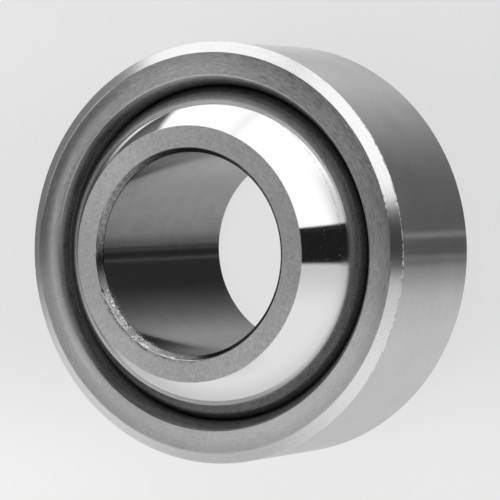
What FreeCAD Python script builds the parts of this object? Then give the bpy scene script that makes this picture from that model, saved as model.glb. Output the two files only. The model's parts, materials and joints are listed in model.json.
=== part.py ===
"""Spherical plain bearing with a wide ball: an outer ring, its bonded liner, and a ball with a bore.

Millimetres. The origin is the centre of the sphere that the ball turns about, and +Z runs along the
bearing's axis. Every piece is turned on a lathe, so each one is an outline in the XZ plane, with X as
the radius and Z as the height, swept once round the axis. The two ends of the bearing are alike.
"""
import FreeCAD, Part
import os
import Sketcher

# Driving dimensions: name, value, what it measures. The bearing grows outwards from its bore: the
# ball's ends, then its sphere, the liner, the seat and the wall of the ring.
DRIVING_SIZES = [
    ("bore_dia", 20.0, "hole through the ball, for the shaft or bolt"),
    ("ball_width", 25.0, "ball over its two flat ends"),
    ("ball_end_land", 2.152, "flat end of the ball, from the bore's chamfer out to the sphere"),
    ("bore_chamfer_width", 0.45, "chamfer at each end of the bore, along the radius"),
    ("bore_chamfer_depth", 0.65, "the same chamfer, along the axis"),
    ("running_gap", 0.03, "between the ball and the liner, along the radius"),
    ("liner_thickness", 0.6, "liner, from its seat in the ring to the ball"),
    ("ring_wall", 2.62, "outer ring at its thinnest, from the seat to the outside"),
    ("ring_width", 16.0, "outer ring over its two faces"),
    ("rim_chamfer_width", 1.1, "chamfer on each outer edge of the ring, along the radius"),
    ("rim_chamfer_depth", 0.7, "the same chamfer, along the axis"),
    ("mouth_relief", 0.15, "how far the mouth of the lined seat stands clear of the ball"),
    ("bevel_width", 0.85, "bevel from the ring's face in to the mouth, along the radius"),
    ("bevel_depth", 1.7, "the same bevel, along the axis"),
]
SHEET = "sizes"

# Sizes that follow from the driving ones, as expressions on the sheet. The sphere comes out at
# 35.5 across and the outside of the ring at 42.
HALF_BALL = "(sizes.ball_width / 2)"
HALF_RING = "(sizes.ring_width / 2)"
BORE_RADIUS = "(sizes.bore_dia / 2)"
CHAMFER_RADIUS = f"({BORE_RADIUS} + sizes.bore_chamfer_width)"
FLAT_RADIUS = f"({CHAMFER_RADIUS} + sizes.ball_end_land)"
BALL_RADIUS = f"sqrt({FLAT_RADIUS}^2 + {HALF_BALL}^2)"
LINED_RADIUS = f"({BALL_RADIUS} + sizes.running_gap)"
SEAT_RADIUS = f"({LINED_RADIUS} + sizes.liner_thickness)"
OUTER_RADIUS = f"({SEAT_RADIUS} + sizes.ring_wall)"
MOUTH_HEIGHT = f"({HALF_RING} - sizes.bevel_depth)"
MOUTH_RADIUS = f"(sqrt({LINED_RADIUS}^2 - {MOUTH_HEIGHT}^2) + sizes.mouth_relief)"
FACE_RADIUS = f"({MOUTH_RADIUS} + sizes.bevel_width)"

# How a sketch constraint names the sketch's origin and its vertical axis, and the points of a curve
ORIGIN = (-1, 1)
V_AXIS = -2
START, END, CENTRE = range(1, 4)

FULL_TURN = 360.0
ON_AXIS = None


def make_sheet(doc):
    """Put the driving dimensions on a sheet, with each name as its cell's alias."""
    sheet = doc.addObject("Spreadsheet::Sheet", SHEET)
    for row, (name, value, meaning) in enumerate(DRIVING_SIZES, start=1):
        sheet.set(f"A{row}", meaning)
        sheet.set(f"B{row}", str(value))
        sheet.setAlias(f"B{row}", name)
    doc.recompute()


def chord_radius(sphere_radius, height):
    """The radius at which a sphere about the origin passes a height."""
    return f"sqrt({sphere_radius}^2 - {height}^2)"


def origin_plane(body, role):
    """One of a body's own origin planes, such as XZ_Plane."""
    return next(feature for feature in body.Origin.OriginFeatures if feature.Role == role)


def bind(sketch, name, constraint, expression):
    """Add a dimension to a sketch, name it and tie it to the sheet."""
    index = sketch.addConstraint(constraint)
    sketch.renameConstraint(index, name)
    sketch.setExpression(f"Constraints.{name}", expression)


def half_section(body, name, corners, round_sides=()):
    """Draw a closed outline in the body's XZ plane.

    Each corner is (name, radius, height), as expressions, and its side runs on to the next corner.
    A side is straight, or, where its corner is in round_sides, an arc about the origin.
    """
    sketch = body.newObject("Sketcher::SketchObject", name)
    sketch.AttachmentSupport = [(origin_plane(body, "XZ_Plane"), "")]
    sketch.MapMode = "FlatFace"
    sheet = body.Document.getObject(SHEET)

    places = []
    for _, radius, height in corners:
        across = 0.0 if radius is ON_AXIS else sheet.evalExpression(radius)
        places.append(FreeCAD.Vector(across, sheet.evalExpression(height), 0))

    sides = []
    for k, (corner, _, _) in enumerate(corners):
        here, there = places[k], places[(k + 1) % len(places)]
        if corner in round_sides:
            circle = Part.Circle(FreeCAD.Vector(), FreeCAD.Vector(0, 0, 1), here.Length)
            rising = here.y < there.y
            low, high = (here, there) if rising else (there, here)
            curve = Part.ArcOfCircle(circle, circle.parameter(low), circle.parameter(high))
            leaves, arrives = (START, END) if rising else (END, START)
        else:
            curve = Part.LineSegment(here, there)
            leaves, arrives = START, END
        sides.append((sketch.addGeometry(curve, False), leaves, arrives))

    for k, (side, _, arrives) in enumerate(sides):
        following, leaves, _ = sides[(k + 1) % len(sides)]
        sketch.addConstraint(Sketcher.Constraint("Coincident", side, arrives, following, leaves))

    for (side, leaves, _), place, (corner, radius, height) in zip(sides, places, corners):
        if radius is ON_AXIS:
            sketch.addConstraint(Sketcher.Constraint("PointOnObject", side, leaves, V_AXIS))
        else:
            across = Sketcher.Constraint("DistanceX", *ORIGIN, side, leaves, place.x)
            bind(sketch, f"{corner}_radius", across, radius)
        up = Sketcher.Constraint("DistanceY", *ORIGIN, side, leaves, place.y)
        bind(sketch, f"{corner}_height", up, height)
        if corner in round_sides:
            sketch.addConstraint(Sketcher.Constraint("PointOnObject", side, CENTRE, V_AXIS))
    return sketch


def turn(body, kind, name, sketch):
    """Sweep an outline once round the axis: a Revolution adds it, a Groove takes it away."""
    feature = body.newObject(f"PartDesign::{kind}", name)
    feature.Profile = sketch
    feature.ReferenceAxis = (sketch, ["V_Axis"])
    feature.Angle = FULL_TURN
    body.Document.recompute()
    return feature


def new_piece(doc, name):
    """A body of its own for one physical piece."""
    body = doc.addObject("PartDesign::Body", name)
    body.Label = name
    return body


def open_mouths(body):
    """Bore the mouth of the seat just clear of the ball and bevel it down from each face.

    The ring is bored and bevelled with its liner already in place, so ring and liner both get
    this one cut and their edges lie on the same cone.
    """
    spool = half_section(body, "mouth_outline", [
        ("face_low", FACE_RADIUS, f"-{HALF_RING}"),
        ("mouth_low", MOUTH_RADIUS, f"-{MOUTH_HEIGHT}"),
        ("mouth_high", MOUTH_RADIUS, MOUTH_HEIGHT),
        ("face_high", FACE_RADIUS, HALF_RING),
        ("axis_high", ON_AXIS, HALF_RING),
        ("axis_low", ON_AXIS, f"-{HALF_RING}"),
    ])
    return turn(body, "Groove", "mouths", spool)


def make_outer_ring(doc):
    """The steel ring: turned blank with a chamfer on each rim, spherical seat, bevelled mouths."""
    ring = new_piece(doc, "outer_ring")
    rim_radius = f"{OUTER_RADIUS} - sizes.rim_chamfer_width"
    rim_height = f"{HALF_RING} - sizes.rim_chamfer_depth"
    blank = half_section(ring, "blank_outline", [
        ("axis_low", ON_AXIS, f"-{HALF_RING}"),
        ("face_low", rim_radius, f"-{HALF_RING}"),
        ("rim_low", OUTER_RADIUS, f"-({rim_height})"),
        ("rim_high", OUTER_RADIUS, rim_height),
        ("face_high", rim_radius, HALF_RING),
        ("axis_high", ON_AXIS, HALF_RING),
    ])
    turn(ring, "Revolution", "blank", blank)
    seat = half_section(ring, "seat_outline", [
        ("seat_low", ON_AXIS, f"-{SEAT_RADIUS}"),
        ("seat_high", ON_AXIS, SEAT_RADIUS),
    ], round_sides=["seat_low"])
    turn(ring, "Groove", "seat", seat)
    open_mouths(ring)
    return ring


def make_liner(doc):
    """The sliding liner: a thin zone of a sphere bonded to the seat, flush with both mouths."""
    liner = new_piece(doc, "liner")
    back_radius = chord_radius(SEAT_RADIUS, HALF_RING)
    front_radius = chord_radius(LINED_RADIUS, HALF_RING)
    shell = half_section(liner, "shell_outline", [
        ("back_low", back_radius, f"-{HALF_RING}"),
        ("back_high", back_radius, HALF_RING),
        ("front_high", front_radius, HALF_RING),
        ("front_low", front_radius, f"-{HALF_RING}"),
    ], round_sides=["back_low", "front_high"])
    turn(liner, "Revolution", "shell", shell)
    open_mouths(liner)
    return liner


def make_ball(doc):
    """The ball: a sphere with two flat ends and a bore that is chamfered at each end."""
    ball = new_piece(doc, "ball")
    bore_height = f"{HALF_BALL} - sizes.bore_chamfer_depth"
    section = half_section(ball, "ball_outline", [
        ("bore_high", BORE_RADIUS, bore_height),
        ("bore_low", BORE_RADIUS, f"-({bore_height})"),
        ("chamfer_low", CHAMFER_RADIUS, f"-{HALF_BALL}"),
        ("flat_low", FLAT_RADIUS, f"-{HALF_BALL}"),
        ("flat_high", FLAT_RADIUS, HALF_BALL),
        ("chamfer_high", CHAMFER_RADIUS, HALF_BALL),
    ], round_sides=["flat_low"])
    turn(ball, "Revolution", "turned_ball", section)
    return ball


def check(doc, pieces):
    """Stop if any object of the document failed or any piece isn't one sound solid."""
    failed = [
        item.Label for item in doc.Objects if "Invalid" in item.State or "Error" in item.State
    ]
    if failed:
        raise RuntimeError(f"failed to compute: {', '.join(failed)}")
    for piece in pieces:
        shape = piece.Shape
        if shape.isNull() or not shape.isValid() or len(shape.Solids) != 1:
            raise RuntimeError(f"{piece.Label} is not one sound solid")
        print(f"{piece.Label}: {shape.Volume:.1f} mm3, {len(shape.Faces)} faces")


def main():
    doc = FreeCAD.newDocument("spherical_plain_bearing")
    make_sheet(doc)
    pieces = [make_outer_ring(doc), make_liner(doc), make_ball(doc)]
    doc.recompute()
    check(doc, pieces)
    os.makedirs("parts", exist_ok=True)
    for piece in pieces:
        piece.Shape.exportStep(f"parts/{piece.Label}.step")


main()
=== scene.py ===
# %% [markdown]
# # A spherical plain bearing, dressed for the studio
#
# The bearing has three pieces: a steel outer ring, a thin dark liner bonded into it, and a
# polished ball with a bore. All three are turned on a lathe, so each one is an outline swept
# round the Z axis. The imported model gives the sizes. What is added here is what a lathe and a
# grinding wheel leave behind: eased edges, strokes of tool marks, small nicks on the rims, and a
# mirror on the ball.
#
# The model is loaded first, and nothing of it is moved or reshaped. Its box is measured straight
# away.

# %% Load the imported model
import json
import math
import bpy
import numpy as np
from mathutils import Matrix, Vector


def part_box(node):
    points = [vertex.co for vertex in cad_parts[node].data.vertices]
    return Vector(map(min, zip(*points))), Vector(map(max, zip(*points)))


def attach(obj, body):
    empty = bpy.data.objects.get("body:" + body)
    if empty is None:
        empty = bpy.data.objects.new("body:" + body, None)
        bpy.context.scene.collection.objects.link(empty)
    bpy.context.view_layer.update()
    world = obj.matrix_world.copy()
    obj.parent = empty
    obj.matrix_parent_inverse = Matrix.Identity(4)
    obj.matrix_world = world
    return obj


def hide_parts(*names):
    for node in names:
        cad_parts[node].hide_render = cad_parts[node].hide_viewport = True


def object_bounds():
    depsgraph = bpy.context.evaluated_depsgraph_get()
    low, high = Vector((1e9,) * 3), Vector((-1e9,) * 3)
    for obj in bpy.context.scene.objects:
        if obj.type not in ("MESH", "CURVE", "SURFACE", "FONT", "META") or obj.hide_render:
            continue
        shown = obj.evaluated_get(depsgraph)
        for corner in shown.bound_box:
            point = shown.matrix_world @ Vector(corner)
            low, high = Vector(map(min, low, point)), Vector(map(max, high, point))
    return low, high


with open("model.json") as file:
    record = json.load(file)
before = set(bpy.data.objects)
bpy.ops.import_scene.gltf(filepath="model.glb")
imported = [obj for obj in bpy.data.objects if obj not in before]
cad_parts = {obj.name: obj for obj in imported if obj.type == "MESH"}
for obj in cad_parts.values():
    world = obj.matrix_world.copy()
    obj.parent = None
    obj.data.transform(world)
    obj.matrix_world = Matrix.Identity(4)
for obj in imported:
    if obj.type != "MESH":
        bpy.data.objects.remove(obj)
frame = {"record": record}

cad_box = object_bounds()
print("model, mm:", [round(1000 * (high - low), 2) for low, high in zip(*cad_box)])

# %% [markdown]
# ## Sizes
#
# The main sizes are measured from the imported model, so nothing has to be fitted afterwards. The
# small ones, such as chamfers, can't be read from a piece's box, so they are repeated here.
# Blender works in metres, and so does every size below.

# %% Sizes from the model, and the small ones beside them
MM = 0.001


def upper_corner(node):
    """The largest radius and the largest height of a turned piece."""
    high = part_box(node)[1]
    return high[0], high[2]


ring_radius, ring_top = upper_corner("outer_ring")
seat_radius, _ = upper_corner("liner")
ball_radius, ball_top = upper_corner("ball")
mounts = {mount["name"]: mount for mount in frame["record"]["mounts"]}
bore_radius = mounts["bore"]["dims"]["r_mm"] * MM

rim_chamfer = (1.1 * MM, 0.7 * MM)
bore_chamfer = (0.45 * MM, 0.65 * MM)
mouth_bevel = (0.85 * MM, 1.7 * MM)
mouth_relief = 0.15 * MM
running_gap = 0.03 * MM
for part, radius in (("ring", ring_radius), ("ball", ball_radius), ("bore", bore_radius)):
    print(f"{part}: {2000 * radius:.1f} mm across")

# %% [markdown]
# The corners of the three outlines follow from those sizes. The ball's flat end is where its
# sphere is cut off, and the mouth of the ring is where the lined seat comes up to the bevel, with
# a little clearance from the ball. Each width is taken inwards or outwards from a corner that is
# known.

# %% Corners of the outlines
lined_radius = ball_radius + running_gap
flat_radius = math.sqrt(ball_radius**2 - ball_top**2)
mouth_top = ring_top - mouth_bevel[1]
mouth_radius = math.sqrt(lined_radius**2 - mouth_top**2) + mouth_relief
face_radius = mouth_radius + mouth_bevel[0]
rim_radius = ring_radius - rim_chamfer[0]
rim_top = ring_top - rim_chamfer[1]
chamfer_radius = bore_radius + bore_chamfer[0]
bore_top = ball_top - bore_chamfer[1]
for part, radius in (("ball's flat", flat_radius), ("mouth", mouth_radius), ("face", face_radius)):
    print(f"{part}: {radius / MM:.2f} mm in radius")

# %% [markdown]
# ## Turning a piece
#
# A turned piece could be a cylinder with bevels, or a curve under a Screw modifier. Here it is
# worked out whole: the outline is sampled, its corners are eased, and the grid of outline points
# times turning angles gives every vertex at once. That keeps the sphere a true sphere, puts an
# even grid under the reflections, and leaves room for real nicks in the rims.
#
# An outline is a ring of sides. A side is a path, straight or round, with its own finish, and it
# says how far apart its points may stand: wide on a flat, close where a mirror or a dent needs
# them.

# %% Sides of an outline
STRAIGHT_SPACING = 3.0 * MM
DENTED_SPACING = 0.25 * MM
MIRROR_SPACING = 0.6 * MM
HIDDEN_SPACING = 2.0 * MM
LENGTH_SAMPLES = 200


class Side:
    """One side of an outline: a path over a share from 0 to 1, its length and its finish."""

    def __init__(self, path, spacing, finish):
        self.path = path
        self.spacing = spacing
        self.finish = finish
        fine_run = path(np.linspace(0, 1, LENGTH_SAMPLES))
        self.length = np.hypot(*np.diff(fine_run, axis=0).T).sum()

    def at(self, distance):
        """The points that lie these distances along the side."""
        return self.path(np.atleast_1d(distance) / self.length)


def straight(start, end, finish, spacing=STRAIGHT_SPACING):
    """A straight side: start plus share times (end minus start)."""
    start, end = np.array(start), np.array(end)
    return Side(lambda share: start + share[:, None] * (end - start), spacing, finish)


def round_side(radius, low, high, spacing, finish):
    """An arc about the origin. Its angle goes evenly from the arc sine of low / radius to that of
    high / radius, and each point is (radius cos angle, radius sin angle)."""
    first, last = math.asin(low / radius), math.asin(high / radius)

    def path(share):
        angle = first + share * (last - first)
        return radius * np.stack([np.cos(angle), np.sin(angle)], axis=1)

    return Side(path, spacing, finish)


print(f"points {STRAIGHT_SPACING / MM} mm apart on a flat, {MIRROR_SPACING / MM} on the mirror")

# %% [markdown]
# A real corner is never sharp: the tool leaves a narrow rounding of some hundredths of a
# millimetre, and that rounding is what catches the light. A Bevel modifier could make it, but
# would treat all corners alike. Here each corner has an ease of its own, and a few points stand
# just beyond it, so that the rounding doesn't bleed into the shading of the flat side.

# %% An outline with eased corners
CORNER_STEPS = 3
EDGE_POINTS = np.array([1.0, 1.4, 2.6, 4.5])
CORNER_SHARE = 0.45


def edge_run(ease, length):
    """Distances from a corner at which points stand: ease times each of EDGE_POINTS.

    The first is where the ease ends. No point goes past CORNER_SHARE of the side, which leaves the
    rest of it to the other corner.
    """
    run = ease * EDGE_POINTS
    return run[run < CORNER_SHARE * length]


def outline(sides, eases):
    """A closed outline, with the number of the side that each stretch between points belongs to.

    Side k runs from corner k to corner k + 1. Corner k is eased over a distance eases[k]: the two
    sides stop short by that much, and a curve (1-t)^2 a + 2t(1-t) c + t^2 b joins them, where c is
    the corner. The points beyond the ease keep a flat side's shading flat, and carry the nicks.
    """
    points, owners = [], []
    for k, side in enumerate(sides):
        before = sides[k - 1]
        ease_in, ease_out = eases[k], eases[(k + 1) % len(sides)]
        a = before.at(before.length - ease_in)
        b = side.at(ease_in)
        corner = side.at(0.0)
        t = np.linspace(0, 1, CORNER_STEPS + 1)[:-1, None]
        points.append((1 - t) ** 2 * a + 2 * t * (1 - t) * corner + t**2 * b)
        owners.append(np.full(CORNER_STEPS, k))
        lead = edge_run(ease_in, side.length)
        tail = side.length - edge_run(ease_out, side.length)[::-1]
        steps = max(1, round((tail[0] - lead[-1]) / side.spacing))
        middle = np.linspace(lead[-1], tail[0], steps + 1)[1:-1]
        distances = np.concatenate([lead, middle, tail])[:-1]
        points.append(side.at(distances))
        owners.append(np.full(len(distances), k))
    return np.concatenate(points), np.concatenate(owners)


print(f"each corner: {CORNER_STEPS} steps round it, {len(EDGE_POINTS)} points beside it")

# %% [markdown]
# Nicks come from handling: a hardened rim knocked against another part loses a crumb. Each one is
# a smooth dimple pressed into the corner of an edge. A bump map could draw them, but a nick on an
# edge breaks its outline and its highlight, so it is pressed into the mesh. All the dimples of an
# edge are summed at once, as one array over turning angle and one over the outline's points.

# %% Nicks along an edge
def nicks(section, turns, corner, inward, centres, widths, depths, across):
    """Dimples in the edge that passes a corner of the outline.

    Each dimple is depth exp(-(arc / width)^2 - (distance / across)^2), where arc is the way round
    from its centre and distance is the way from the corner, and it moves the surface inward.
    """
    angle = np.arange(turns) * (2 * math.pi / turns)
    turn_off = (angle[None, :] - centres[:, None] + math.pi) % (2 * math.pi) - math.pi
    arc = corner[0] * turn_off
    ridge = (depths[:, None] * np.exp(-((arc / widths[:, None]) ** 2))).sum(axis=0)
    distance = np.hypot(*(section - np.array(corner)).T)
    inward = np.array(inward) / np.hypot(*inward)
    return ridge[:, None, None] * np.exp(-((distance / across) ** 2))[None, :, None] * inward


sample = nicks(
    np.array([[1.0, 0.0]]), 4, (1.0, 0.0), (-1.0, 0.0),
    centres=np.zeros(1), widths=np.ones(1), depths=np.full(1, 0.5), across=1.0,
)
print("a nick 0.5 deep moves the point at its middle by", sample[0, 0])

# %% [markdown]
# Sweeping is one formula for every vertex, so there is no loop over them, and foreach_set hands
# whole arrays to Blender. Spin would do the same in steps, but its seam would have to be merged
# and the dents pressed in afterwards. The grid closes on itself both ways, so it has no seam and
# no pole. The outline runs anticlockwise, and so the faces point outwards.

# %% The grid of vertices, and the mesh
def turned(name, sides, eases, turns, dents=()):
    """Sweep a closed outline round the Z axis and make it a mesh object.

    Vertex (i, j) is (r_j cos a_i, r_j sin a_i, z_j), with a_i = 2 pi i / turns. Each of dents is a
    function of the outline's points and the number of turns, and gives what to add to radius and
    height.
    """
    section, owners = outline(sides, eases)
    count = len(section)
    angle = np.arange(turns) * (2 * math.pi / turns)
    grid = np.broadcast_to(section, (turns, count, 2)).copy()
    for dent in dents:
        grid += dent(section, turns)
    places = np.stack([
        grid[..., 0] * np.cos(angle)[:, None],
        grid[..., 0] * np.sin(angle)[:, None],
        grid[..., 1],
    ], axis=-1).reshape(-1, 3)

    i, j = np.meshgrid(np.arange(turns), np.arange(count), indexing="ij")
    next_i, next_j = (i + 1) % turns, (j + 1) % count
    corners = np.stack([
        i * count + j, next_i * count + j, next_i * count + next_j, i * count + next_j,
    ], axis=-1).reshape(-1, 4)

    mesh = bpy.data.meshes.new(name)
    mesh.vertices.add(len(places))
    mesh.vertices.foreach_set("co", places.ravel())
    mesh.loops.add(corners.size)
    mesh.loops.foreach_set("vertex_index", corners.ravel())
    mesh.polygons.add(len(corners))
    mesh.polygons.foreach_set("loop_start", np.arange(0, corners.size, 4))
    mesh.update(calc_edges=True)
    finishes = list(dict.fromkeys(side.finish for side in sides))
    for finish in finishes:
        mesh.materials.append(finish)
    slots = np.array([finishes.index(side.finish) for side in sides])
    mesh.polygons.foreach_set("material_index", np.tile(slots[owners], turns))
    mesh.polygons.foreach_set("use_smooth", np.ones(len(corners), bool))
    mesh.validate()
    piece = bpy.data.objects.new(name, mesh)
    bpy.context.collection.objects.link(piece)
    print(f"{name}: {count} points in the outline, {2 * len(corners)} triangles")
    return piece


# %% [markdown]
# ## Shader maths as arithmetic
#
# Finishes of turned metal are sums and products of a few fields: the radius, the height, the
# angle, and noise read in those coordinates. Wired by hand, each formula would be a dozen Math
# nodes. A small class wraps a socket, so that the sum is written as a sum, and one method adds
# any other node.

# %% A socket that can be added, multiplied and compared
class Wire:
    """An output of a node tree. Arithmetic on it adds Math nodes."""

    def __init__(self, sheet, socket):
        self.sheet = sheet
        self.socket = socket

    def maths(self, operation, *values):
        """A Math node on this value and the others."""
        inputs = dict(enumerate((self, *values)))
        return self.sheet.node("ShaderNodeMath", {"operation": operation}, inputs)

    def __add__(self, other):
        return self.maths("ADD", other)

    def __mul__(self, other):
        return self.maths("MULTIPLY", other)

    def __sub__(self, other):
        return self.maths("SUBTRACT", other)

    def __truediv__(self, other):
        return self.maths("DIVIDE", other)

    def __rsub__(self, other):
        return self * -1.0 + other

    __radd__ = __add__
    __rmul__ = __mul__

    def size(self):
        """The value without its sign."""
        return self.maths("ABSOLUTE")

    def step(self, low, high):
        """0 below low, 1 above high, and a smooth S between. High below low turns it round."""
        settings = {"interpolation_type": "SMOOTHSTEP"}
        inputs = {"Value": self, "From Min": low, "From Max": high}
        return self.sheet.node("ShaderNodeMapRange", settings, inputs)

    def near(self, middle, width):
        """1 at the middle value, falling smoothly to 0 a width away on either side."""
        return (self - middle).size().step(width, 0.0)

    def towards(self, other, share):
        """This value where share is 0, the other where it is 1."""
        return self + share * (other - self)


class Sheet:
    """A node tree to write on."""

    def __init__(self, tree):
        self.tree = tree
        tree.nodes.clear()

    def node(self, kind, settings=None, inputs=None, output=0):
        """Add a node: its settings first, then its inputs, each a number or a Wire."""
        node = self.tree.nodes.new(kind)
        for name, value in (settings or {}).items():
            setattr(node, name, value)
        for name, value in (inputs or {}).items():
            if isinstance(value, Wire):
                self.tree.links.new(value.socket, node.inputs[name])
            else:
                node.inputs[name].default_value = value
        return Wire(self, node.outputs[output] if len(node.outputs) else None)

    def grey(self, value):
        """A grey colour from one number."""
        return self.node("ShaderNodeCombineColor", None, {0: value, 1: value, 2: value})

    def coordinates(self, source):
        """The three coordinates of a point: its Object place, or a world's Generated direction."""
        point = self.node("ShaderNodeTexCoord", None, None, source)
        return [self.node("ShaderNodeSeparateXYZ", None, {0: point}, axis) for axis in range(3)]


# %% [markdown]
# Every mark on a turned piece follows the lathe, so its finish is easiest to write in the lathe's
# own coordinates: the radius, the height, and the cosine and sine of the angle. They come from
# Object coordinates, which stay with the ball when it tilts. An unwrapped texture would have a
# seam and would stretch on the sphere. Noise read in these coordinates has neither.

# %% Coordinates of the lathe
class Turned(Sheet):
    """The tree of a turned finish, with the lathe's own coordinates in millimetres."""

    def __init__(self, name):
        self.material = bpy.data.materials.new(name)
        self.material.use_nodes = True
        super().__init__(self.material.node_tree)
        x, y, z = (axis / MM for axis in self.coordinates("Object"))
        self.place = self.node("ShaderNodeCombineXYZ", None, {0: x, 1: y, 2: z})
        self.height = z
        self.radius = (x * x + y * y).maths("SQRT")
        self.across = x / self.radius
        self.along = y / self.radius

    def noise(self, vector, scale, detail=2.0, roughness=0.5):
        """Noise from 0 to 1 with its middle at a half."""
        return self.node("ShaderNodeTexNoise", None, {
            "Vector": vector, "Scale": scale, "Detail": detail, "Roughness": roughness,
        })

    def around(self, middle, whole, end):
        """1 up to a whole angle on either side of a middle one, and 0 from the end angle on.

        The cosine of the angle to the middle m is across cos m + along sin m, and it is stepped
        from the cosine of the end angle to that of the whole one. All three are in degrees.
        """
        angle = math.radians(middle)
        facing = self.across * math.cos(angle) + self.along * math.sin(angle)
        return facing.step(math.cos(math.radians(end)), math.cos(math.radians(whole)))

    def tool_marks(self, coordinate, per_mm, spread, detail=3.0):
        """Strokes that lie round the axis: noise that changes fast along a coordinate.

        The noise is read at (spread cos a, spread sin a, per_mm times the coordinate), so a stroke
        is about radius / spread long. A small spread gives whole rings.
        """
        vector = self.node("ShaderNodeCombineXYZ", None, {
            0: self.across * spread, 1: self.along * spread, 2: coordinate * per_mm,
        })
        return self.noise(vector, scale=1.0, detail=detail, roughness=0.6)

    def hairlines(self, scale, width, share):
        """A few curly scratches: the line along which one noise passes a half, where another noise
        is high enough."""
        line = self.noise(self.place, scale, detail=1.0).near(0.5, width)
        where = self.noise(self.place, scale * 0.8, detail=0.0).step(share, share + 0.06)
        return line * where

    def finish(self, base, roughness, height=None, relief=0.0, **fixed):
        """Close the tree with a Principled shader. Its bump is height times relief, in mm."""
        inputs = {"Base Color": self.grey(base), "Roughness": roughness, "Metallic": 1.0}
        if height is not None:
            inputs["Normal"] = self.node("ShaderNodeBump", None, {
                "Strength": 1.0, "Distance": relief * MM, "Height": height,
            })
        inputs.update({name.replace("_", " "): value for name, value in fixed.items()})
        shader = self.node("ShaderNodeBsdfPrincipled", None, inputs)
        self.node("ShaderNodeOutputMaterial", None, {"Surface": shader})
        print("finish:", self.material.name)
        return self.material


# %% [markdown]
# ## Finishes
#
# Each face of the bearing was cut or ground in its own way, and that is what tells them apart in
# the photograph: the metal is the same steel nearly everywhere. Marks that run round the axis
# spread a reflection across themselves and leave it sharp along themselves. In the shader that is
# Anisotropic, turned a quarter, because its own grain runs the other way.
#
# The ring's flat faces are ground dull and carry short strokes. The right side has been handled
# more, with a few curly scratches, and is painted darker as shade. The upper side, the outer edge,
# the upper left corner and the inner edge on the left are painted darker too, and a brighter track
# on the left is a painted highlight: these stand in for the light and shade that the face reflects.
# At the upper left the rim was scraped: a thin pale line, painted as a highlight, runs along its
# edge and on over the chamfer, so that stretch is a value that both finishes use. A picture of
# brushed metal would repeat and blur close up. Noise that runs fast along the radius and slowly
# round it gives such strokes at any distance.

# %% The ring's ground faces
LAID_ROUND = {"Anisotropic_Rotation": 0.25}
SCRAPED_HIGHLIT_STRETCH = (143, 14, 28)
FACE_GREY, FACE_ROUGHNESS = 0.67, 0.30


def ground_face():
    """Dull ground steel with strokes and scratches, painted shade, and a painted highlight at the
    rim.
    """
    sheet = Turned("ring_face_ground")
    radius, across, along = sheet.radius, sheet.across, sheet.along
    strokes = sheet.tool_marks(radius, per_mm=6.0, spread=39.0)
    rings = sheet.tool_marks(radius, per_mm=13.0, spread=7.0, detail=2.0)
    dashes = sheet.tool_marks(radius, per_mm=13.0, spread=17.0, detail=4.0).step(0.46, 0.66)
    grain = sheet.noise(sheet.place, scale=8.0, roughness=0.6)
    cloud = sheet.noise(sheet.place, scale=0.45, detail=3.0)

    # The upper side and the right side are painted darker, as shade.
    upper = along.step(-0.15, 0.35)
    handled_and_shaded = sheet.around(28, 23, 57)
    hair = sheet.hairlines(scale=0.42, width=0.008, share=0.50) * handled_and_shaded
    marks = 0.93 + (0.14 + 0.12 * upper) * (strokes.step(0.28, 0.72) - 0.5)
    marks = marks + 0.10 * rings.step(0.3, 0.7) + 0.16 * (cloud - 0.5)
    marks = marks - (dashes - 0.2) * (0.08 + 0.18 * upper + 0.24 * handled_and_shaded)
    marks = marks + (grain - 0.5) * (0.10 + 0.5 * handled_and_shaded)

    # Painted shade and highlight: darker outwards, at the rim on the upper left, at the inner edge
    # on the left and over the upper left corner, with a brighter painted track on the left.
    outwards = 0.80 + 0.20 * radius.step(20.0, 18.2)
    highlight_track = 0.22 * radius.near(18.4, 0.5) * across.step(-0.6, -0.95)
    shaded_rim = radius.step(18.5, 19.4) * sheet.around(150, 19, 39)
    shaded_mouth = radius.step(18.1, 17.6) * across.step(-0.5, -0.9)
    shaded_corner = sheet.around(130, 12, 37)
    shade = (1.0 - 0.16 * upper) * (1.0 - 0.20 * handled_and_shaded) * (1.0 - 0.16 * shaded_corner)
    shade = shade * (1.0 - 0.45 * shaded_rim) * (1.0 - 0.22 * shaded_mouth)

    # The scraped line at the rim is painted pale, as a highlight.
    scraped_and_highlit = radius.step(19.78, 19.86) * sheet.around(*SCRAPED_HIGHLIT_STRETCH) * grain.step(0.30, 0.50)
    base = FACE_GREY * (outwards + highlight_track) * marks * shade + 0.20 * hair + 0.60 * scraped_and_highlit
    roughness = FACE_ROUGHNESS + 0.10 * strokes + 0.15 * scraped_and_highlit
    height = strokes + 0.4 * rings
    return sheet.finish(base, roughness, height, relief=0.006, Anisotropic=0.75, **LAID_ROUND)


face_finish = ground_face()

# %% [markdown]
# The outside of the ring was ground between two wheels, finer than the faces. It shows the room
# spread along the axis and sharp round it, as bands. Full Anisotropic does that with one shader.
# Many lamps could paint the bands too, but they would stay put when the part turns. The marks
# themselves are so shallow that the bump is under a thousandth of a millimetre. The upper side
# is lighter than the lower one.

# %% The ring's outside
OUTSIDE_GREY, OUTSIDE_ROUGHNESS = 0.64, 0.15


def ground_outside():
    """Finely ground steel with faint rings and a slight cloud, lighter above."""
    sheet = Turned("ring_outside_ground")
    strokes = sheet.tool_marks(sheet.height, per_mm=7.0, spread=45.0)
    rings = sheet.tool_marks(sheet.height, per_mm=9.0, spread=5.0, detail=2.0)
    cloud = sheet.noise(sheet.place, scale=0.22, detail=3.0)
    # Lighter above and darker below.
    lighter_side = sheet.along.step(0.2, 0.6) - 0.6 * sheet.along.step(-0.4, -0.8)
    base = OUTSIDE_GREY + 0.09 * (strokes - 0.5) + 0.10 * (rings - 0.5) + 0.12 * (cloud - 0.5)
    base = base + 0.07 * lighter_side
    roughness = OUTSIDE_ROUGHNESS + 0.04 * cloud
    height = strokes + rings
    return sheet.finish(
        base, roughness, height, relief=0.0006, Anisotropic=1.0, Metallic=0.86, **LAID_ROUND
    )


outside_finish = ground_outside()
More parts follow.
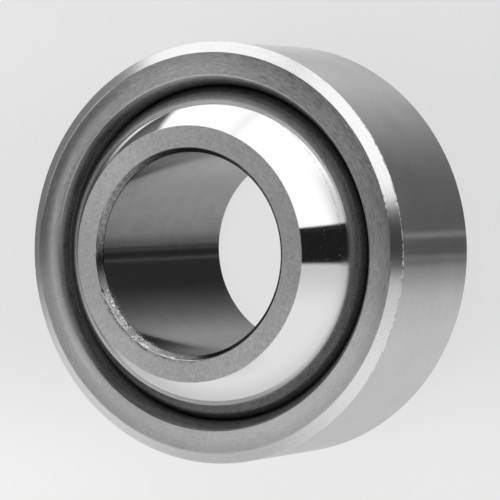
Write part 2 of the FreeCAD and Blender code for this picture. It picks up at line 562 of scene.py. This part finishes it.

# %% [markdown]
# The chamfer of the rim is as the turning tool left it: bright, with a fine thread. Its two edges
# are crumbled where the ring was knocked, which shows as a broken line of sparks on the side that
# is otherwise dark. The larger nicks are pressed into the mesh further down. The crumbs are
# smaller than its faces, so they are a bump that lies close to the edges and is strong on that
# side only. Where the rim was scraped, the chamfer's inner edge is rough, and painted pale as a
# highlight.

# %% The rim's chamfer
RIM_GREY, RIM_ROUGHNESS = 0.74, 0.20


def rim_chamfer_steel():
    """Bright turned steel with a fine thread, crumbled edges and a stretch painted pale as a
    highlight.
    """
    sheet = Turned("rim_chamfer_turned")
    thread = sheet.tool_marks(sheet.radius, per_mm=16.0, spread=12.0)
    grit = sheet.noise(sheet.place, scale=4.0, detail=4.0, roughness=0.65)
    from_middle = sheet.height.size()
    outer_edge = from_middle.near(rim_top / MM, 0.06)
    inner_edge = from_middle.near(ring_top / MM, 0.04)
    knocked = 0.15 + 0.85 * sheet.across.step(0.70, 0.92)
    crumbs = sheet.noise(sheet.place, scale=5.0).step(0.48, 0.60) * (outer_edge + inner_edge)
    crumbs = crumbs * knocked
    # Along the scraped stretch the chamfer is painted pale, as a highlight.
    scrape = from_middle.near(ring_top / MM, 0.09) * sheet.around(*SCRAPED_HIGHLIT_STRETCH)
    scraped_and_highlit = scrape * grit.step(0.30, 0.50)
    base = RIM_GREY + 0.14 * (thread - 0.5) + 0.16 * (grit - 0.5) + 0.20 * scraped_and_highlit
    roughness = RIM_ROUGHNESS + 0.03 * grit + 0.45 * crumbs + 0.40 * scraped_and_highlit
    height = 0.02 * thread + 0.005 * grit + crumbs
    return sheet.finish(base, roughness, height, relief=0.045, Anisotropic=0.5, **LAID_ROUND)


rim_finish = rim_chamfer_steel()

# %% [markdown]
# The bevel leads from the ring's face down to the gap. It is the same steel, with the rings that
# the turning tool left in it, but its grey is painted dark, partly for oil and dust from the gap
# and partly as the shade of the gap, most on the left and the right, and lighter towards the face
# on the upper side. Its top edge is worn round on the left and painted lighter there, so the grey
# of the face fades into it, and a thin painted highlight runs along it at the top. A second mesh of
# dirt would have to be fitted to the cone, so the dirt and the shade are only colour, by radius and
# side.

# %% The ring's inner bevel
# The bevel's grey is set dark, partly dirt and partly painted shade of the gap.
BEVEL_GREY, BEVEL_ROUGHNESS = 0.28, 0.34


def dark_bevel():
    """Steel with turned rings, painted dark with dirt and shade towards the gap."""
    sheet = Turned("ring_bevel_dull")
    radius, across, along = sheet.radius, sheet.across, sheet.along
    strokes = sheet.tool_marks(radius, per_mm=8.0, spread=50.0, detail=4.0)
    rings = sheet.tool_marks(radius, per_mm=6.0, spread=4.0)
    grime = sheet.noise(sheet.place, scale=1.6, detail=5.0)
    # Painted shade and light: dark towards the gap and at the sides, lighter towards the face
    # above, a painted highlight on the top edge and painted light on the worn edge at the left.
    clean_and_lit = radius.step(17.1, 17.6) * along.step(-0.3, 0.4)
    dirt_and_shade = 0.55 * across.step(-0.2, -0.8) + 0.25 * across.step(0.3, 0.9)
    painted_edge_highlight = radius.step(17.50, 17.62) * along.step(0.4, 0.9)
    worn_edge_painted_light = radius.step(17.28, 17.62) * across.step(-0.66, -0.95)
    base = BEVEL_GREY + 0.26 * clean_and_lit + 0.34 * (strokes - 0.5) + 0.16 * (grime - 0.5)
    base = base * (1.0 - dirt_and_shade) + 0.12 * painted_edge_highlight + 0.26 * worn_edge_painted_light
    base = base + 0.30 * (rings - 0.5)
    roughness = BEVEL_ROUGHNESS + 0.15 * grime
    height = strokes + grime
    return sheet.finish(base, roughness, height, relief=0.01, Anisotropic=0.5, **LAID_ROUND)


bevel_finish = dark_bevel()

# %% [markdown]
# The liner is a woven cloth soaked in resin and trimmed flush with the bevel. Only its cut edge
# shows, as dark streaks of thread, grey towards its outer edge, and the strip beside the ball is
# painted nearly black, as the shade of the gap. Woven threads could be modelled, but they are a
# tenth of a millimetre thick and half hidden, so streaks of noise stand for them. It is the one
# piece that isn't metal.

# %% The liner's cloth
CLOTH_GREY, CLOTH_ROUGHNESS = 0.01, 0.50
GAP_SHADE_WIDTH = 0.5


def liner_cloth():
    """Dark woven cloth in resin, grey along its outer edge, painted nearly black as shade by the
    ball.
    """
    sheet = Turned("liner_cloth")
    threads = sheet.tool_marks(sheet.radius, per_mm=9.0, spread=60.0, detail=4.0)
    speck = sheet.noise(sheet.place, scale=5.0, detail=4.0)
    # Near the mouth the cloth is painted nearly black, as the shade of the gap, and grey further
    # out.
    clear_of_gap_shade = sheet.radius.step(mouth_radius / MM, mouth_radius / MM + GAP_SHADE_WIDTH)
    base = CLOTH_GREY + 0.16 * clear_of_gap_shade * (0.5 + threads.step(0.35, 0.75)) + 0.03 * speck
    roughness = CLOTH_ROUGHNESS + 0.2 * speck
    return sheet.finish(base, roughness, threads + speck, relief=0.02, Metallic=0.0)


cloth_finish = liner_cloth()

# %% [markdown]
# The ball's sphere is lapped and hard plated, a mirror. Nearly all of its look is the room, so
# its colour hardly varies. Faint rings, a few specks and a track rubbed by the liner are what
# keep it from looking like glass. Near the gap, on the lower side, a film of grease blurs the
# mirror a little.

# %% The ball's sphere
SPHERE_GREY, SPHERE_ROUGHNESS = 0.77, 0.035
TRACK_HEIGHT = 9.05


def mirror_sphere():
    """A mirror with faint rings, specks, a track worn by the liner and a film of grease."""
    sheet = Turned("ball_sphere_mirror")
    from_middle = sheet.height.size()
    rings = sheet.tool_marks(sheet.height, per_mm=9.0, spread=4.0)
    speck = sheet.noise(sheet.place, scale=8.0).step(0.62, 0.78)
    rub = sheet.noise(sheet.place, scale=2.2, detail=4.0, roughness=0.6).step(0.42, 0.60)
    track = rub * sheet.around(37, 26, 46) * from_middle.near(TRACK_HEIGHT, 0.14)
    greasy = from_middle.step(9.7, 8.7) * sheet.along.step(0.1, -0.3)
    base = SPHERE_GREY + 0.04 * (rings - 0.5) - 0.10 * speck - 0.22 * track
    roughness = SPHERE_ROUGHNESS + 0.03 * rings + 0.24 * speck + 0.10 * track + 0.12 * greasy
    return sheet.finish(base, roughness, rings, relief=0.0004)


sphere_finish = mirror_sphere()

# %% [markdown]
# The flat ends of the ball are finely ground and matt, with a slight mottle. One stretch of the
# bore's mouth was touched up with a file by hand, and the end is smeared beside it. Three
# finishes need to know where that stretch is, so it is a value of its own. It could be painted on
# as a mask image, but a step on the angle is sharper and needs no unwrapping.

# %% The ball's flat ends
FILED_STRETCH = (237, 29, 44)
END_GREY, END_ROUGHNESS = 0.55, 0.34


def ground_end():
    """Finely ground matt grey, mottled, and smeared beside the filed stretch."""
    sheet = Turned("ball_end_matt")
    mottle = sheet.noise(sheet.place, scale=2.6, detail=4.0, roughness=0.65)
    strokes = sheet.tool_marks(sheet.radius, per_mm=9.0, spread=30.0)
    grain = sheet.noise(sheet.place, scale=5.0, roughness=0.6)
    # Lighter towards the left.
    lighter_side = sheet.across.step(-0.1, -0.8)
    beside = sheet.radius.step(10.95, 10.5) * sheet.around(*FILED_STRETCH)
    smear = beside * mottle.step(0.42, 0.62)
    base = END_GREY + 0.12 * lighter_side + 0.34 * (mottle - 0.5) + 0.16 * (strokes - 0.5)
    base = (base + 0.34 * (grain - 0.5)) * (1.0 - 0.7 * smear)
    roughness = END_ROUGHNESS + 0.10 * mottle
    height = mottle + strokes
    return sheet.finish(base, roughness, height, relief=0.005, Anisotropic=0.5, **LAID_ROUND)


end_finish = ground_end()

# %% [markdown]
# The bore's chamfer is turned, and dark because it looks at the dark side of the room. Over the
# filed stretch it glints: each stroke of the file is a small facet that catches the softbox.
# Towards the bottom the file slid and left it smooth and pale, and at the upper left something
# that was pushed in has scuffed it. Facets could be cut into the mesh, but they are far too many.
# A strong bump does part of it, and the glints are painted into the colour as bright patches.

# %% The bore's chamfer
CHAMFER_GREY, CHAMFER_ROUGHNESS = 0.17, 0.20


def bore_chamfer_steel():
    """Turned steel, filed by hand over a stretch with painted sparkle, and scuffed over another."""
    sheet = Turned("bore_chamfer_filed")
    thread = sheet.tool_marks(sheet.height, per_mm=14.0, spread=8.0)
    grit = sheet.noise(sheet.place, scale=3.0, detail=4.0, roughness=0.65)
    filed = sheet.around(*FILED_STRETCH)
    smooth = filed * sheet.along.step(-0.70, -0.92)
    scuffed = sheet.around(146, 17, 44)
    patches = sheet.noise(sheet.place, scale=1.3, detail=1.0).step(0.38, 0.58)
    inner = 0.15 + 0.85 * sheet.radius.step(10.36, 10.12)
    # Painted glints: bright patches in the colour over the filed stretch.
    painted_glints = sheet.noise(sheet.place, scale=4.5).step(0.50, 0.60) * patches * inner
    base = CHAMFER_GREY + 0.16 * filed + 0.24 * (thread - 0.5)
    base = base + 0.25 * (grit - 0.5) * (0.4 + filed)
    base = base + 0.70 * filed * painted_glints * (1.0 - 0.5 * smooth)
    base = base + (0.10 + 0.5 * (grit - 0.5)) * scuffed + 0.34 * smooth
    roughness = CHAMFER_ROUGHNESS - 0.08 * filed + 0.06 * grit + 0.20 * smooth
    height = 0.25 * thread + grit * (0.12 + 0.6 * filed - 0.45 * smooth)
    return sheet.finish(base, roughness, height, relief=0.06)


bore_chamfer_finish = bore_chamfer_steel()

# %% [markdown]
# The bore is honed: a fine grey with faint lines, its grey set dark, partly as painted shade of the
# deep bore. It is duller than the sphere, and like the ring's outside it shows the room as bands
# that run along the axis. The file left a little burr at its mouth, painted lighter there as
# glints. The lines are noise stretched along the height, which a plain noise texture can't give.

# %% The bore
# The dark grey is partly painted shade of the deep bore.
BORE_GREY, BORE_ROUGHNESS = 0.255, 0.15
LINES_ROUND, LINES_ALONG = 34.0, 0.35


def honed_bore():
    """Honed steel with faint lines, its grey painted dark as shade, lighter where the file left a
    lip.
    """
    sheet = Turned("bore_honed")
    lines = sheet.node("ShaderNodeCombineXYZ", None, {
        0: sheet.across * LINES_ROUND,
        1: sheet.along * LINES_ROUND,
        2: sheet.height * LINES_ALONG,
    })
    hone = sheet.noise(lines, scale=1.0)
    cloud = sheet.noise(sheet.place, scale=0.5)
    at_mouth = sheet.around(*FILED_STRETCH) * sheet.height.step(11.0, 11.8)
    # At the filed stretch the mouth is painted lighter, as glints.
    burr_and_glints = at_mouth * sheet.noise(sheet.place, scale=4.0).step(0.4, 0.6)
    base = BORE_GREY + 0.05 * (hone - 0.5) + 0.06 * (cloud - 0.5) + 0.35 * burr_and_glints
    roughness = BORE_ROUGHNESS + 0.05 * hone + 0.35 * burr_and_glints
    return sheet.finish(base, roughness, hone, relief=0.0008, Anisotropic=0.8, **LAID_ROUND)


bore_finish = honed_bore()

# %% [markdown]
# ## The outer ring
#
# The ring is one piece of steel with a spherical seat inside, and the liner is bonded into that
# seat. Both were bevelled in one cut, so they meet at a corner where the bevel's cone crosses the
# sphere of the seat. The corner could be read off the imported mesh, but only as near as its facets
# allow. The root of a quadratic gives it exactly.

# %% Where the bevel crosses a sphere
def bevel_meets(radius):
    """Where the bevel's line crosses a sphere about the origin, as (radius, height).

    The line is mouth + s (face - mouth). Its distance from the origin is the sphere's radius at the
    root of a quadratic in s.
    """
    start = np.array([mouth_radius, mouth_top])
    run = np.array([face_radius, ring_top]) - start
    a, b, c = run @ run, 2 * start @ run, start @ start - radius**2
    share = (-b + math.sqrt(b * b - 4 * a * c)) / (2 * a)
    return start + share * run


seat_edge = bevel_meets(seat_radius)
seat_foot = (seat_edge[0], -seat_edge[1])
print("ring and liner meet at, mm:", np.round(seat_edge / MM, 3))

# %% [markdown]
# The photograph shows a crowd of small nicks on the right of the rim, where they break the line
# of light, and a few strays elsewhere. Their places are random, but from a generator with a fixed
# seed, so that every run gives the same ring. Picking each by hand would look no better and take
# longer.

# %% Nicks on the ring's rims
NICK_WIDTHS = (0.09, 0.17)
NICK_DEPTHS = (0.010, 0.028)
NICK_REACH = 0.08 * MM
STRAY_DEPTH = 0.6
SEED = 5
chance = np.random.default_rng(SEED)


def handled_edge(corner, inward, count, middle, reach):
    """Nicks in one edge: a crowd about one angle, in degrees, and as many anywhere round it."""
    crowd = np.radians(chance.normal(middle, reach, count))
    strays = chance.uniform(0, 2 * math.pi, count)
    centres = np.concatenate([crowd, strays])
    widths = chance.uniform(*NICK_WIDTHS, 2 * count) * MM
    depths = chance.uniform(*NICK_DEPTHS, 2 * count) * MM
    depths[count:] *= STRAY_DEPTH
    return lambda section, turns: nicks(
        section, turns, corner, inward, centres, widths, depths, NICK_REACH
    )


ring_dents = [
    handled_edge((ring_radius, rim_top), (-1.0, -0.5), count=26, middle=3.0, reach=7.0),
    handled_edge((rim_radius, ring_top), (-0.3, -1.0), count=14, middle=8.0, reach=5.0),
    handled_edge((rim_radius, -ring_top), (-0.3, 1.0), count=6, middle=200.0, reach=20.0),
    handled_edge((ring_radius, -rim_top), (-1.0, 0.5), count=6, middle=120.0, reach=20.0),
]
print(len(ring_dents), "edges of the ring are nicked")

# %% [markdown]
# The ring's outline has eight sides: the outside, a chamfer, the face, the bevel, the seat, and
# the lower three again. The part is alike at both ends. Turned corners are eased by 0.03 to 0.1
# mm, most at the mouth, where the bevel was rubbed over. The seat is out of sight behind the
# liner, so its points stand wide. Where so many dents are small, the ring is divided finely round
# its axis.

# %% The outer ring
EDGE = 0.06 * MM
FINE_EDGE = 0.03 * MM
SOFT_EDGE = 0.10 * MM
RING_TURNS = 1080

ring_sides = [
    straight((ring_radius, -rim_top), (ring_radius, rim_top), outside_finish),
    straight((ring_radius, rim_top), (rim_radius, ring_top), rim_finish),
    straight((rim_radius, ring_top), (face_radius, ring_top), face_finish),
    straight((face_radius, ring_top), seat_edge, bevel_finish),
    round_side(seat_radius, seat_edge[1], -seat_edge[1], HIDDEN_SPACING, bevel_finish),
    straight(seat_foot, (face_radius, -ring_top), bevel_finish),
    straight((face_radius, -ring_top), (rim_radius, -ring_top), face_finish),
    straight((rim_radius, -ring_top), (ring_radius, -rim_top), rim_finish),
]
ring_eases = [EDGE, EDGE, EDGE, SOFT_EDGE, FINE_EDGE, FINE_EDGE, SOFT_EDGE, EDGE]
outer_ring = turned("outer_ring_turned", ring_sides, ring_eases, RING_TURNS, ring_dents)

# %% [markdown]
# ## The liner
#
# The liner is a thin zone of a sphere, 0.6 mm thick: its back lies on the seat, its front runs on
# the ball, and both ends are trimmed along the bevel and then straight down, just clear of the
# ball. A Solidify modifier on a sphere would give the shell but not those ends, so it is an
# outline as well.

# %% The liner
LINER_TURNS = 900
mouth_foot = math.sqrt(lined_radius**2 - mouth_radius**2)
liner_sides = [
    round_side(seat_radius, -seat_edge[1], seat_edge[1], HIDDEN_SPACING, cloth_finish),
    straight(seat_edge, (mouth_radius, mouth_top), cloth_finish),
    straight((mouth_radius, mouth_top), (mouth_radius, mouth_foot), cloth_finish),
    round_side(lined_radius, mouth_foot, -mouth_foot, HIDDEN_SPACING, cloth_finish),
    straight((mouth_radius, -mouth_foot), (mouth_radius, -mouth_top), cloth_finish),
    straight((mouth_radius, -mouth_top), seat_foot, cloth_finish),
]
liner = turned("liner_bonded", liner_sides, [FINE_EDGE] * len(liner_sides), LINER_TURNS)

# %% [markdown]
# ## The ball
#
# The hand filing made the outer edge of the bore's chamfer wavy at the upper end. The waves could
# be sculpted, but they are the same dimples as the ring's nicks, only wider and closer together.
# So they are pressed in with the same formula, and the flat end gets close points to carry them.

# %% Dents where the bore's mouth was filed
FILED_MIDDLE = 222.0
FILED_SPREAD = 17.0
DENT_COUNT = 26
DENT_WIDTHS = (0.10, 0.40)
DENT_DEPTHS = (0.01, 0.05)
DENT_REACH = 0.12 * MM


def filed_edge(middle):
    """Dents in the outer edge of the bore's chamfer, gathered about one angle in degrees."""
    centres = np.radians(chance.normal(middle, FILED_SPREAD, DENT_COUNT))
    widths = chance.uniform(*DENT_WIDTHS, DENT_COUNT) * MM
    depths = chance.uniform(*DENT_DEPTHS, DENT_COUNT) * MM
    corner = (chamfer_radius, ball_top)
    return lambda section, turns: nicks(
        section, turns, corner, (0.6, -1.0), centres, widths, depths, DENT_REACH
    )


print(f"{DENT_COUNT} dents about {FILED_MIDDLE:.0f} degrees")

# %% [markdown]
# The ball is one piece: a sphere, two flat ends, a chamfer at each end of the bore, and the bore.
# A UV sphere cut with a cylinder would shade badly along the cut. As an outline its arc is a true
# circle, with points close together, because a mirror shows every flat facet.

# %% The ball
BALL_TURNS = 840
ball_sides = [
    round_side(ball_radius, -ball_top, ball_top, MIRROR_SPACING, sphere_finish),
    straight((flat_radius, ball_top), (chamfer_radius, ball_top), end_finish, DENTED_SPACING),
    straight((chamfer_radius, ball_top), (bore_radius, bore_top), bore_chamfer_finish),
    straight((bore_radius, bore_top), (bore_radius, -bore_top), bore_finish),
    straight((bore_radius, -bore_top), (chamfer_radius, -ball_top), bore_chamfer_finish),
    straight((chamfer_radius, -ball_top), (flat_radius, -ball_top), end_finish),
]
ball_eases = [FINE_EDGE, FINE_EDGE, EDGE, EDGE, EDGE, EDGE]
ball = turned("ball_turned", ball_sides, ball_eases, BALL_TURNS, [filed_edge(FILED_MIDDLE)])

# %% Each piece on its body
for piece, node, body, slot in (
    (outer_ring, "outer_ring", "outer_ring", "ring_steel"),
    (liner, "liner", "outer_ring", "liner_fabric"),
    (ball, "ball", "ball", "ball_steel"),
):
    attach(piece, body)
    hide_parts(node)
    print(f"{piece.name} rides on {body}")

# %% [markdown]
# ## The studio
#
# The part lies on the ball's flat end, because a bearing that rolls can't stand unheld, and the
# camera looks down on it. The floor is a sheet of pale paper. It shines a little towards the
# camera alone, so the background is as pale as the photograph's while the paper still takes a
# soft shadow. Brighter lamps would whiten it too, but they would burn out the steel. It is hidden
# from the steel, which mirrors a table that stands elsewhere and is painted below. Its tone
# drifts as the photograph's background does, as painted light and shade: paler in front, darker
# on the left and towards the right, and paler where it is seen through the bore, a painted light
# that takes out the bore's shadow.

# %% The floor
FLOOR_HALF = 1.5
FLOOR_GLOW = 1.085
GLOW_SHARE = 0.80
PAPER_TONE = 0.755
TONE_PER_METRE = -1.0

floor_mesh = bpy.data.meshes.new("floor")
floor_height = cad_box[0][2]
floor_corners = [(-1, -1), (1, -1), (1, 1), (-1, 1)]
floor_mesh.from_pydata(
    [(side * FLOOR_HALF, end * FLOOR_HALF, floor_height) for side, end in floor_corners],
    [], [(0, 1, 2, 3)],
)
floor = bpy.data.objects.new("floor", floor_mesh)
bpy.context.collection.objects.link(floor)
floor.visible_glossy = False

paper = bpy.data.materials.new("floor_paper")
paper.use_nodes = True
sheet = Sheet(paper.node_tree)
x, y, _ = sheet.coordinates("Object")
# The paper's tone is painted: lighter in front, further back and where it is seen through the bore,
# darker on the left and towards the right, as light and shade.
in_front = y.step(-6 * MM, -24 * MM)
beyond = y.step(10 * MM, 26 * MM)
left = x.step(-8 * MM, -26 * MM) * (1.0 - in_front) * (1.0 - 0.6 * beyond)
through_bore = (x * x + y * y).maths("SQRT").step(13 * MM, 8 * MM)
tone = PAPER_TONE + 0.085 * in_front + 0.02 * beyond - 0.035 * left + 0.08 * through_bore
tone = tone + TONE_PER_METRE * x
diffuse = sheet.node("ShaderNodeBsdfDiffuse", None, {"Color": sheet.grey(tone)})
shine = sheet.grey(FLOOR_GLOW * tone)
glow = sheet.node("ShaderNodeEmission", None, {"Color": shine, "Strength": 1.0})
seen = sheet.node("ShaderNodeLightPath", None, None, "Is Camera Ray")
surface = sheet.node("ShaderNodeMixShader", None, {0: GLOW_SHARE * seen, 1: diffuse, 2: glow})
sheet.node("ShaderNodeOutputMaterial", None, {"Surface": surface})
floor_mesh.materials.append(paper)
print(f"floor {2 * FLOOR_HALF} m across, at {1000 * floor_height:.1f} mm")

# %% [markdown]
# Polished steel has no look of its own: it shows the room. The photograph was taken under a broad
# softbox, over a pale table, with the rest of the room dark, and the bearing mirrors exactly
# that. So the light here is a world painted by direction: x runs to the right, y up, and z out of
# the ring's front face. Lamps of that size would light as well, but their edges are easier to
# place as limits on a direction. Each share below runs from 0 to 1, and towards() lays one tone
# over another by a share.

# %% A world to paint by direction
SOFTBOX, TABLE, BACKDROP = 1.3, 0.97, 0.72
WALL, PILLAR, DARK, FAR_DARK = 0.24, 0.50, 0.015, 0.05

world = bpy.data.worlds.new("studio")
bpy.context.scene.world = world
world.use_nodes = True
sheet = Sheet(world.node_tree)
x, y, z = sheet.coordinates("Generated")


def sine(degrees):
    """The height of a direction that rises by an angle."""
    return math.sin(math.radians(degrees))


print("softbox", SOFTBOX, "table", TABLE, "dark room", DARK)

# %% [markdown]
# The dark room is what the black bands on the ball and the ring's outside show. On the left there
# is a grey wall with a paler upright strip in it, and those give the ring's face and the ball's
# left side their middle greys. Planes could stand there instead, but a share of the direction
# sets a soft edge with two numbers and costs no time in the render.

# %% The dark room in front
left_wall = x.step(-0.30, -0.62) * z.step(-0.5, -0.1) * (1.0 - 0.65 * z.step(0.20, 0.45))
room = DARK + (WALL - DARK) * left_wall
pillar = x.step(-0.43, -0.53) * x.step(-0.78, -0.70) * z.step(0.4, 0.6) * y.step(0.42, 0.25)
room = room.towards(PILLAR, pillar)
print("room:", len(world.node_tree.nodes), "nodes")

# %% [markdown]
# The table fills the lower half. Its far edge is the lower limit of the black band on the right.
# On the left that edge is soft, a pale card stands on it, and the bearing's own shadow is painted
# on the patch of table right under it and on the table nearer to it. A real plane would be lit
# evenly, and each of these would need another object.

# %% The table in front, below
TABLE_EDGE = (sine(-8.0), sine(-10.5))
card = x.step(-0.15, -0.35) * x.step(-0.75, -0.60)
table = (y - 0.13 * card).step(*TABLE_EDGE)
table = table.towards(y.step(0.03, -0.25), x.step(-0.60, -0.75))

# The bearing's shadow, painted on the table under it and darker towards it.
under = y.step(-0.35, -0.75) * x.step(0.35, -0.35) * z.step(0.0, 0.25)
towards_part = 0.76 + 0.24 * z.step(-0.35, 0.10)
near_or_left = y.step(-0.15, -0.65).maths("MAXIMUM", x.step(0.3, -0.2))
table_light = TABLE * (1.0 - 0.4 * under) * towards_part * (0.72 + 0.28 * near_or_left)
table_light = table_light * (1.0 - 0.15 * x.step(-0.5, -0.9))
front = room.towards(table_light, table)
print("and the table:", len(world.node_tree.nodes), "nodes")

# %% [markdown]
# The softbox fills the upper half. It is two panels with a faint seam between them, which the
# ball shows as a grey line. It ends on the left, is masked low on that side, and its right end is
# dimmer. An area lamp is evenly bright, and could have neither the seam nor the dim end.

# %% The softbox in front, above
BOX_EDGE = (sine(12.0), sine(13.5))
box_side = (x + 0.28 * z).step(-0.724, -0.654)
box_foot = y - 0.15 * x.step(-0.3, -0.5) * z.step(0.2, 0.4)
mask = x.step(0.12, -0.08) * z.step(0.56, 0.68)
seam = 1.0 - 0.1 * x.near(-0.01, 0.08)
dim_end = 1.0 - 0.45 * z.step(0.12, -0.10) * x.step(0.65, 0.95)
box = box_foot.step(*BOX_EDGE) * box_side * (1.0 - mask)
front = front.towards(SOFTBOX * seam * dim_end, box)
print("and the softbox:", len(world.node_tree.nodes), "nodes")

# %% [markdown]
# What lies behind the bearing shows in the bore and on the ring's outside. It is the same room,
# but hazier: dull light above, a table that gets brighter downwards, two thin lines of light at
# its far edge, and a pale backdrop. The left end of it is dark, which the ball shows along its
# left edge. The room could be one all round, but the steel mirrors the two halves in different
# places, so each is easier to set by itself.

# %% Behind the part
haze = (0.08 + 1.3 * y.step(0.28, 0.62)) * (1.0 - 0.75 * x.step(-0.45, 0.35))
far_table = 0.28 * y.step(-0.082, -0.112) + 0.32 * y.step(-0.13, -0.24)
far_table = far_table + 0.15 * y.step(-0.24, -0.42)
far_edge = 0.24 * y.near(0.034, 0.016) + 0.20 * y.near(-0.066, 0.016)
backdrop = x.near(-0.46, 0.22) * z.step(-0.72, -0.80)
behind = FAR_DARK + haze * y.step(-0.05, 0.05) + far_table + far_edge
dark_end = x.step(-0.60, -0.76) * y.near(-0.04, 0.62)
behind = (behind * (1.0 - 0.88 * dark_end)).towards(BACKDROP, backdrop)
print("and what lies behind:", len(world.node_tree.nodes), "nodes")

# %% [markdown]
# The two halves meet where z is a little below zero. The camera doesn't see the painted room:
# past the edge of the floor it sees an even pale grey. A backdrop object would do that too, but
# would show in the steel.

# %% The world's light
SEEN_BACKGROUND = 0.80
light = behind.towards(front, z.step(-0.42, -0.36))
seen = sheet.node("ShaderNodeLightPath", None, None, "Is Camera Ray")
light = light.towards(SEEN_BACKGROUND, seen)
background = sheet.node("ShaderNodeBackground", None, {"Color": sheet.grey(light), "Strength": 1.0})
sheet.node("ShaderNodeOutputWorld", None, {"Surface": background})
print("the whole world:", len(world.node_tree.nodes), "nodes")

# %% [markdown]
# ## The camera
#
# The place, the angle and the lens were found by laying the edges of the three pieces over those
# in the photograph: an ellipse's width and slant fix the angle, and how much the far edges shrink
# fixes the distance. A guess by eye would be off by several degrees. The camera stands a third of
# a metre away with a long lens, to the right of the bearing's axis, and is rolled by a few
# degrees, as the photograph's horizon is.

# %% The camera
LENS = 233.0
SENSOR = 36.0
VIEW_ANGLE = math.radians(28.53)
VIEW_TILT = -0.00035
VIEW_ROLL = math.radians(-2.71)
NEAREST_SEEN = 0.01
camera_place = Vector((156.94, 0.0, 288.33)) * MM

back = Vector((math.sin(VIEW_ANGLE), VIEW_TILT, math.cos(VIEW_ANGLE))).normalized()
level = Vector((0, 1, 0)).cross(back).normalized()
right = math.cos(VIEW_ROLL) * level + math.sin(VIEW_ROLL) * back.cross(level)
up = back.cross(right)
camera_data = bpy.data.cameras.new("camera")
camera_data.lens = LENS
camera_data.sensor_width = SENSOR
camera_data.clip_start = NEAREST_SEEN
camera = bpy.data.objects.new("camera", camera_data)
bpy.context.collection.objects.link(camera)
turn = Matrix((right, up, back)).transposed().to_4x4()
camera.matrix_world = Matrix.Translation(camera_place) @ turn
bpy.context.scene.camera = camera
bpy.context.scene.view_settings.view_transform = "Standard"
print(f"camera {camera_place.length:.3f} m away")
